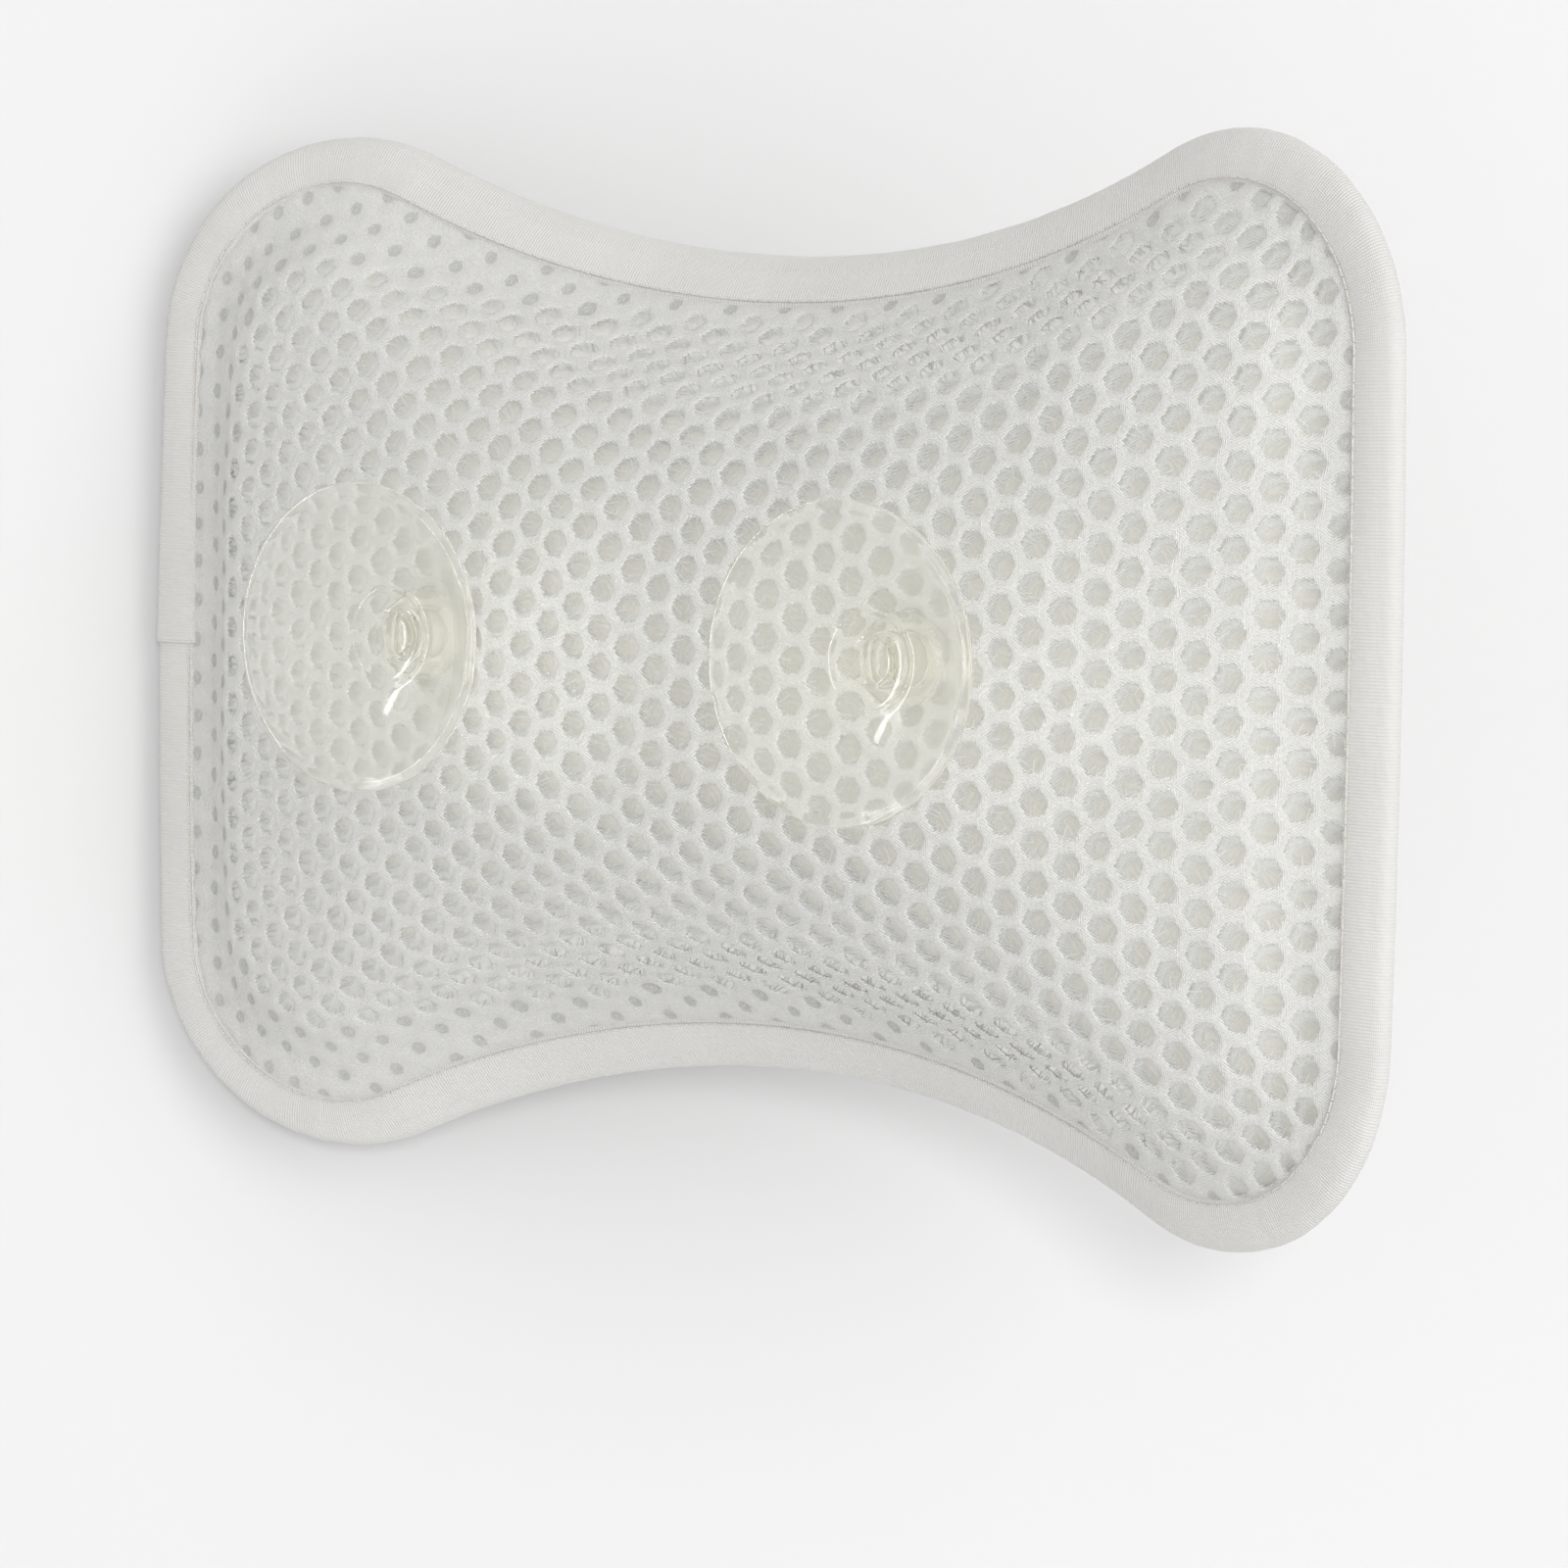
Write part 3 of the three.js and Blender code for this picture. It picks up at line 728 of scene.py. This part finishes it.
def makeYarns(side, name, cells, toPlan):
    # pile yarns that stand between the two knitted layers, round every hole
    rng = np.random.default_rng(21 + side)
    spec = spacerYarn
    n = spec["perCell"]
    turn = np.tile(np.arange(n) * 2 * math.pi / n, len(cells))
    turn = turn + rng.uniform(-spec["jitter"], spec["jitter"], n * len(cells))
    mid = np.repeat(np.array([c[:2] for c in cells]), n, axis=0)
    reach = airMesh["rise"] / 2 - airMesh["strand"] * spec["inset"]
    reach = reach * rng.uniform(*spec["spread"], (len(turn), 1))
    top = mid + np.stack([np.cos(turn), np.sin(turn)], -1) * reach
    foot = top + rng.normal(0, spec["lean"], top.shape)
    ends = []
    for st, deep in ((top, spec["top"] * airMesh["thickness"]), (foot, groundMesh["depth"] + spec["foot"])):
        flat = np.column_stack([st, np.full(len(st), -deep)])
        places, inside = placePoints(flat, side, toPlan, airMesh["edge"] + spec["edge"])
        ends.append(places)
    keep = inside > pillow["sewn"] + spec["fromSeam"]
    curve = bpy.data.curves.new(name, "CURVE")
    curve.dimensions, curve.bevel_depth, curve.bevel_resolution = "3D", spec["radius"] * mm, 0
    for a, b, k in zip(*ends, keep):
        if k:
            spline = curve.splines.new("POLY")
            spline.points.add(1)
            spline.points[0].co, spline.points[1].co = (*a, 1), (*b, 1)
    piece = curveToPiece(curve, pileWhite, "pillow")
    softNormals(piece, side, spec["softness"])
    return piece


def curveToPiece(curve, material, body):
    holder = bpy.data.objects.new(curve.name + "Path", curve)
    scene.collection.objects.link(holder)
    mesh = bpy.data.meshes.new_from_object(holder.evaluated_get(bpy.context.evaluated_depsgraph_get()))
    bpy.data.objects.remove(holder)
    mesh.name = curve.name
    mesh.materials.clear()
    mesh.materials.append(material)
    mesh.shade_smooth()
    for layer in mesh.uv_layers:
        layer.name = "strand"
    piece = bpy.data.objects.new(curve.name, mesh)
    scene.collection.objects.link(piece)
    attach(piece, body)
    return piece


for side, face in ((-1, "back"), (1, "front")):
    net, holes, cloth = makeNet(side, face + "_net")
    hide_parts(face + "_mesh_panel")
    makeGround(side, face + "_ground")
    makeYarns(side, face + "_spacers", holes, cloth)
    print(face, "air mesh made,", len(holes), "holes")


# fibre filling
filling = {
    "voxel": 5, "start": 0.6, "pressure": 4, "frames": 20, "cap": 1.2, "clear": 4.6, "fill": 0.75,
    "leastTilt": 0.25, "leastHalf": 0.5, "headRoom": 3, "headGap": 1,
}


def applyModifiers(piece):
    mesh = bpy.data.meshes.new_from_object(piece.evaluated_get(bpy.context.evaluated_depsgraph_get()))
    piece.modifiers.clear()
    piece.data = mesh
    mesh.name = piece.name


def swellCloth(piece, spec):  # air pressure rounds the loose fibre out
    start = [v.co.copy() for v in piece.data.vertices]
    cloth = piece.modifiers.new("swell", "CLOTH")
    cloth.settings.use_pressure, cloth.settings.uniform_pressure_force = True, spec["pressure"]
    cloth.settings.effector_weights.gravity = 0
    cloth.collision_settings.use_collision = False
    for step in range(1, spec["frames"] + 1):
        scene.frame_set(step)
    applyModifiers(piece)
    scene.frame_set(1)
    most = 0.0
    for v, before in zip(piece.data.vertices, start):
        move = v.co - before
        most = max(most, move.length)
        v.co = before + move * min(1, spec["cap"] * mm / max(move.length, 1e-9))
    return most / mm


def makeFilling(spec):
    bm = bmesh.new()
    bm.from_mesh(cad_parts["fibre_filling"].data)
    bmesh.ops.remove_doubles(bm, verts=bm.verts[:], dist=1e-5)
    bmesh.ops.recalc_face_normals(bm, faces=bm.faces[:])
    bm.normal_update()
    for v in bm.verts:
        v.co -= v.normal * spec["start"] * mm
    piece = makePiece("fibre_core", bm, fibreWhite, "pillow")
    even = piece.modifiers.new("even", "REMESH")
    even.mode, even.voxel_size = "VOXEL", spec["voxel"] * mm
    applyModifiers(piece)
    print("filling swelled by", round(swellCloth(piece, spec), 2), "mm before the cap")
    place = vertexArray(piece.data, "co") / mm
    x, z = place[:, 0], place[:, 2] + pillow["drop"]
    limits = []  # the core stays clear of both ground knits
    for side in (-1, 1):
        tilt = np.maximum(np.abs(faceNormal(side, x, z)[:, 1]), spec["leastTilt"])
        limits.append(faceY(side, x, z) - side * spec["clear"] / tilt)
    low, high = limits
    half = np.maximum((high - low) / 2, spec["leastHalf"])
    place[:, 1] = np.clip(place[:, 1], (low + high) / 2 - half, (low + high) / 2 + half)
    piece.data.vertices.foreach_set("co", (place * mm).ravel())
    for v in piece.data.vertices:  # room for the heads of the cups
        off = min(math.hypot(v.co.x / mm - cx, v.co.z / mm) for cx in (-pillow["cupX"], pillow["cupX"]))
        if off < pillow["headRadius"] + spec["headRoom"]:
            v.co.y = max(v.co.y, (pillow["headEnd"] + spec["headGap"]) * mm)
    piece.data.shade_smooth()
    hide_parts("fibre_filling")
    return subdivided(piece, 1)


core = makeFilling(filling)
print("filling made")


# edge binding
binding = {
    "width": 10.8, "sewn": pillow["sewn"], "outer": 3.0, "inner": 2.1,
    "nose": 4.2, "high": 3.25, "slope": 0.75, "dive": 1.3, "tipOver": 0.1, "tipHalf": 0.8,
    "noseSteps": 12, "flapSteps": 11, "innerSteps": 6,
    "pitch": 1.3,  # length of one step along the edge
    "pucker": 0.2, "straightShare": 0.45,  # wrinkles, smaller away from the lobes
    "wrinkles": ((1, 6.0, 3.0, 0.3), (0.6, 2.1, 2.0, 5.1)),  # size, lengths along and across, seed
    "leftStart": 400,  # keeps the wrinkles of the two ends apart
    "lapAt": -1.2, "lapLength": 60, "lapRise": 0.6, "lapPower": 1.5,
    "lapStep": 0.12, "lapNear": 3, "lapX": -120,
}


def tapeProfile(spec):
    # outer contour from the front tip over the nose to the back tip, then back along the inside
    pts = []
    for i in range(spec["flapSteps"]):
        a = spec["width"] - (spec["width"] - spec["nose"]) * i / spec["flapSteps"]
        fall = spec["slope"] * min(1, (a - spec["nose"]) / (spec["sewn"] - spec["nose"])) ** 2
        past = max(0, (a - spec["sewn"]) / (spec["width"] - spec["sewn"]))
        fall += spec["dive"] * past  # the tip sinks under the net
        pts.append((a, spec["high"] - fall))
    for i in range(spec["noseSteps"] + 1):
        t = math.pi * (0.5 - i / spec["noseSteps"])
        pts.append((spec["nose"] - spec["nose"] * math.cos(t), spec["high"] * math.sin(t)))
    pts += [(a, -b) for a, b in reversed(pts[:spec["flapSteps"]])]
    tip = (spec["width"] + spec["tipOver"], spec["tipHalf"])
    inside = [(tip[0], -tip[1]), (spec["outer"], -spec["inner"])]
    for i in range(1, spec["innerSteps"]):
        t = math.pi * (-0.5 + i / spec["innerSteps"])
        inside.append((spec["outer"] - spec["inner"] * math.cos(t), spec["inner"] * math.sin(t)))
    return pts + inside + [(spec["outer"], spec["inner"]), tip]


def alongEdge(x, z):  # length along the edge from the end of the pillow
    a, b = abs(x), abs(z)
    turn = math.atan2(b - lobeZ, a - lobeX)
    if sideTurn <= turn <= lobeTurn:
        return sideR * sideTurn + lobeR * (turn - sideTurn)
    if b < lobeZ + 3 and a > lobeX:
        return sideR * math.atan2(b, a - sideX)
    t = math.atan2(b - waistC, a)
    return sideR * sideTurn + lobeR * (lobeTurn - sideTurn) + waistR * (waistTurn - t)


def makeBinding(spec):
    bm = bmesh.new()
    girth = bm.verts.layers.float.new("girth")
    profile = tapeProfile(spec)
    ring, total = [], 0.0
    for i, (a, y) in enumerate(profile):
        v = bm.verts.new((pillow["width"] / 2 - a, y, 0))
        total += 0 if i == 0 else math.dist(profile[i], profile[i - 1])
        v[girth] = total
        ring.append(v)
    section = [bm.edges.new((ring[i], ring[(i + 1) % len(ring)])) for i in range(len(ring))]
    for cx, cz, r, turn, axis in ((sideX, 0, sideR, sideTurn, (0, -1, 0)),
                                  (lobeX, lobeZ, lobeR, lobeTurn - sideTurn, (0, -1, 0)),
                                  (0, waistC, waistR, waistTurn + math.pi / 2, (0, 1, 0))):
        steps = max(3, round(turn * r / spec["pitch"]))
        done = bmesh.ops.spin(bm, geom=section, cent=(cx, 0, cz), axis=axis, angle=turn, steps=steps)
        section = [g for g in done["geom_last"] if isinstance(g, bmesh.types.BMEdge)]
    for axis in ("X", "Z"):
        bmesh.ops.mirror(bm, geom=bm.verts[:] + bm.edges[:] + bm.faces[:], axis=axis, merge_dist=0.005)
    bmesh.ops.remove_doubles(bm, verts=bm.verts[:], dist=0.005)
    for lift in (-spec["lapStep"], spec["lapStep"]):  # sharp step where the tape's end laps
        middles = [(f, f.calc_center_median()) for f in bm.faces]
        near = [f for f, c in middles if c.x < spec["lapX"] and abs(c.z - spec["lapAt"]) < spec["lapNear"]]
        geom = set(near) | {e for f in near for e in f.edges} | {v for f in near for v in f.verts}
        cut = (0, 0, spec["lapAt"] + lift)
        bmesh.ops.bisect_plane(bm, geom=list(geom), dist=0.001, plane_co=cut, plane_no=(0, 0, 1))
    bmesh.ops.recalc_face_normals(bm, faces=bm.faces[:])
    bm.normal_update()
    uv = bm.loops.layers.uv.new("tape")
    for f in bm.faces:
        for loop in f.loops:
            loop[uv].uv = (alongEdge(loop.vert.co.x, loop.vert.co.z), loop.vert[girth])
    moved = []
    for v in bm.verts:
        x, y, z = v.co
        s = alongEdge(x, z) * (1 if x * z > 0 else -1) + (spec["leftStart"] if x < 0 else 0)
        lobeShare = 1.0 if abs(z) > lobeZ and abs(x) > lobeX else spec["straightShare"]
        wrinkle = sum(size * noise.noise((s / along, y / across, seed))
                      for size, along, across, seed in spec["wrinkles"])
        push = spec["pucker"] * lobeShare * wrinkle
        if x < spec["lapX"] and z > spec["lapAt"]:
            left = max(0, 1 - (z - spec["lapAt"]) / spec["lapLength"])
            push += spec["lapRise"] * left ** spec["lapPower"]
        moved.append(v.co + v.normal * push)
    flat = np.array([list(m) for m in moved])
    side = np.where(flat[:, 1] < 0, -1.0, 1.0)
    rise = np.where(side < 0, pillow["backCrown"], pillow["frontCrown"]) * swell(flat[:, 0], flat[:, 2])
    flat[:, 1] += seam(flat[:, 0]) + side * rise
    flat[:, 2] -= pillow["drop"]
    for v, q in zip(bm.verts, flat):
        v.co = Vector(q) * mm
    piece = makePiece("bound_edge", bm, tapeWhite, "pillow")
    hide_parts("edge_binding")


makeBinding(binding)
print("binding made")


# lockstitch along both flaps
stitching = {"pitch": 2.4, "radius": 0.24, "gap": 0.08, "rise": 0.05, "arch": (-0.25, 0.8, 1.0, 0.8, -0.25)}


def makeStitches(spec, side, name):
    stations = edgeWalk(binding["sewn"], spec["pitch"])
    curve = bpy.data.curves.new(name, "CURVE")
    curve.dimensions, curve.bevel_depth, curve.bevel_resolution = "3D", spec["radius"] * mm, 1
    curve.use_fill_caps = True
    lift = binding["high"] - binding["slope"] - pillow["pressedHalf"]
    for i, here in enumerate(stations):
        there = stations[(i + 1) % len(stations)]
        spline = curve.splines.new("POLY")
        spline.points.add(len(spec["arch"]) - 1)
        for k, (point, h) in enumerate(zip(spline.points, spec["arch"])):
            t = spec["gap"] / 2 + (1 - spec["gap"]) * k / (len(spec["arch"]) - 1)
            x, z = (np.array([here[j] + (there[j] - here[j]) * t]) for j in (0, 1))
            out = faceNormal(side, x, z)[0]
            p = np.array([x[0], faceY(side, x, z)[0], z[0]]) + out * (lift + spec["rise"] * h)
            p[2] -= pillow["drop"]
            point.co = (*(p * mm), 1)
    return curveToPiece(curve, threadBeige, "pillow")


needle = makeStitches(stitching, -1, "back_stitches")
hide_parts("needle_thread")
bobbin = makeStitches(stitching, 1, "front_stitches")
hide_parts("bobbin_thread")
print("stitches made")


# suction cups
cup = {
    "steps": 64, "subdivision": 1,
    "bowl": 28, "rim": 30, "depth": 11.5, "wall": 2.2, "lip": 1.2,
    "ridge": 0.35, "ridges": ((0.15, 0.18), (0.312, 0.338)),  # two rings in the dish, as shares of it
    "inside": (0.1, 0.148, 0.152, 0.178, 0.182, 0.25, 0.31, 0.314, 0.336, 0.34,
               0.42, 0.55, 0.7, 0.82, 0.91, 0.97),
    "outside": (0.98, 0.91, 0.82, 0.7, 0.55, 0.4, 0.27),
    "stem": 4.5, "hub": 9, "hubFrom": 19.5, "hubTo": 22, "headFrom": 26, "head": 8, "headTo": 30,
    "flat": 1.2, "bevel": 0.4, "fillet": 0.5,
}


def cupProfile(spec):
    # (radius, depth) from the middle of the dish round the rim to the top of the head
    bowl, rim, depth, lip, stem = (spec[k] for k in ("bowl", "rim", "depth", "lip", "stem"))
    hub, hubFrom, hubTo = spec["hub"], spec["hubFrom"], spec["hubTo"]
    head, headFrom, headTo = spec["head"], spec["headFrom"], spec["headTo"]
    flat, bevel, fillet = spec["flat"], spec["bevel"], spec["fillet"]
    pts = [(0, depth), (flat, depth)]
    for share in spec["inside"]:
        onRidge = any(start < share < end for start, end in spec["ridges"])
        pts.append((bowl * share, depth * (1 - share ** 2) - (spec["ridge"] if onRidge else 0)))
    pts += [(bowl, 0.05), (bowl + bevel, 0), (rim - 0.3, 0), (rim, 0.25)]
    pts += [(rim, lip - 0.3), (rim - 0.35, lip)]
    for share in spec["outside"]:
        wall = spec["wall"] + (lip - spec["wall"]) * share
        pts.append((bowl * share, depth * (1 - share ** 2) + wall))
    stemY = depth + spec["wall"]
    pts += [(stem + flat, stemY - 0.1), (stem, stemY + flat)]
    pts += [(stem, hubFrom - fillet), (stem + fillet, hubFrom), (hub - bevel, hubFrom)]
    pts += [(hub, hubFrom + bevel), (hub, hubTo - bevel), (hub - bevel, hubTo)]
    pts += [(stem + fillet, hubTo), (stem, hubTo + fillet), (stem, headFrom - bevel)]
    pts += [(stem + bevel, headFrom), (head - bevel, headFrom), (head, headFrom + bevel)]
    pts += [(head, headTo - 2.2)]
    return pts + [(head - 2, headTo - 0.1), (head - 2.6, headTo), (0, headTo)]


def makeCup(spec, x, name, body, node):
    bm = bmesh.new()
    ring = [bm.verts.new(((x + r) * mm, y * mm, 0)) for r, y in cupProfile(spec)]
    edges = [bm.edges.new(pair) for pair in zip(ring, ring[1:])]
    bmesh.ops.spin(bm, geom=edges, cent=(x * mm, 0, 0), axis=(0, 1, 0), angle=2 * math.pi,
                   steps=spec["steps"], use_merge=True)
    bmesh.ops.remove_doubles(bm, verts=bm.verts[:], dist=1e-6)
    bmesh.ops.recalc_face_normals(bm, faces=bm.faces[:])
    piece = makePiece(name, bm, clearVinyl, body)
    subdivided(piece, spec["subdivision"])
    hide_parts(node)


makeCup(cup, -pillow["cupX"], "left_clear_cup", "left_cup", "suction_cup_left")
makeCup(cup, pillow["cupX"], "right_clear_cup", "right_cup", "suction_cup_right")
print("cups made")


# stage and light
stageSetup = {
    "turn": 37.5, "gap": 0.012, "half": 4.0,
    "paper": (0.76, 0.76, 0.76), "paperRough": 0.9, "lift": 0.015,
    "world": 0.67, "seen": 0.87,  # strength of the sky as light, and as the camera sees it
}
lampAim = (0, 0.05, 0)
lamps = {  # offsets to the right, up and towards the camera, in metres
    "keyLamp": {"offset": (1.6, 0.5, 2.5), "size": 2.0, "power": 34},
    "fillLamp": {"offset": (0.3, -2.2, 1.2), "size": 2.5, "power": 9, "mirrored": False},
    "stripLamp": {"offset": (-2.25, 0.4, 0.02), "size": 0.22, "power": 20, "tall": 1.7, "spread": False},
    "frontLamp": {"offset": (0.14, 0.16, 2.4), "size": 0.3, "power": 13, "mirrored": False},
}


def seenRays(tree, path):  # rays of the camera, straight or by way of the cups
    bent = mathNode(tree, "MAXIMUM", path.outputs["Is Glossy Ray"], path.outputs["Is Transmission Ray"])
    return mathNode(tree, "MAXIMUM", path.outputs["Is Camera Ray"], bent)


def makeStage(spec):
    bm = bmesh.new()  # a sheet of white paper close behind the pillow
    bmesh.ops.create_grid(bm, x_segments=2, y_segments=2, size=spec["half"])
    facing = Vector((math.sin(math.radians(spec["turn"])), -math.cos(math.radians(spec["turn"])), 0))
    far = max(-facing.dot(v.co) for v in core.data.vertices)
    turn = facing.to_track_quat("Z", "Y").to_matrix()
    bmesh.ops.rotate(bm, verts=bm.verts[:], cent=(0, 0, 0), matrix=turn)
    bmesh.ops.translate(bm, verts=bm.verts[:], vec=facing * -(far + spec["gap"]))
    mesh = bpy.data.meshes.new("paperBackdrop")
    bm.to_mesh(mesh)
    bm.free()
    sheet = bpy.data.objects.new("paperBackdrop", mesh)
    scene.collection.objects.link(sheet)
    mat, tree, skin = newMaterial("whitePaper")
    link = tree.links.new
    setInputs(skin, {"Base Color": (*spec["paper"], 1), "Roughness": spec["paperRough"]})
    side, clear, path, glow, both = newNodes(
        tree, "NewGeometry", "BsdfTransparent", "LightPath", "Emission", "AddShader")
    link(mathNode(tree, "MULTIPLY", seenRays(tree, path), spec["lift"]), glow.inputs["Strength"])
    link(skin.outputs[0], both.inputs[0])
    link(glow.outputs[0], both.inputs[1])
    mix = mixShaders(tree, side.outputs["Backfacing"], both, clear)
    link(mix.outputs[0], tree.nodes["Material Output"].inputs["Surface"])
    mesh.materials.append(mat)


def makeWorld(spec):
    world = bpy.data.worlds.new("studio")
    scene.world = world
    world.use_nodes = True
    tree = world.node_tree
    lit = tree.nodes["Background"]
    path, shown = newNodes(tree, "LightPath", "Background")
    setInputs(lit, {"Color": (1, 1, 1, 1), "Strength": spec["world"]})
    setInputs(shown, {"Color": (1, 1, 1, 1), "Strength": spec["seen"]})
    mix = mixShaders(tree, seenRays(tree, path), lit, shown)
    tree.links.new(mix.outputs[0], tree.nodes["World Output"].inputs["Surface"])


def makeLamp(name, spec):
    right, up, back = viewAxes(cameraSetup)
    data = bpy.data.lights.new(name, "AREA")
    data.shape, data.size, data.energy = "DISK", spec["size"], spec["power"]
    if "tall" in spec:
        data.shape, data.size_y = "RECTANGLE", spec["tall"]
    lamp = bpy.data.objects.new(name, data)
    across, above, near = spec["offset"]
    place = Vector(lampAim) + right * across + up * above + back * near
    lamp.location = place
    lamp.rotation_mode = "QUATERNION"
    lamp.rotation_quaternion = (Vector(lampAim) - place).to_track_quat("-Z", "Y")
    lamp.visible_glossy = lamp.visible_transmission = spec.get("mirrored", True)
    lamp.visible_diffuse = spec.get("spread", True)
    scene.collection.objects.link(lamp)


makeStage(stageSetup)
makeWorld(stageSetup)
for lampName, lampSpec in lamps.items():
    makeLamp(lampName, lampSpec)
scene.view_settings.view_transform = "Standard"
print("stage and light made")
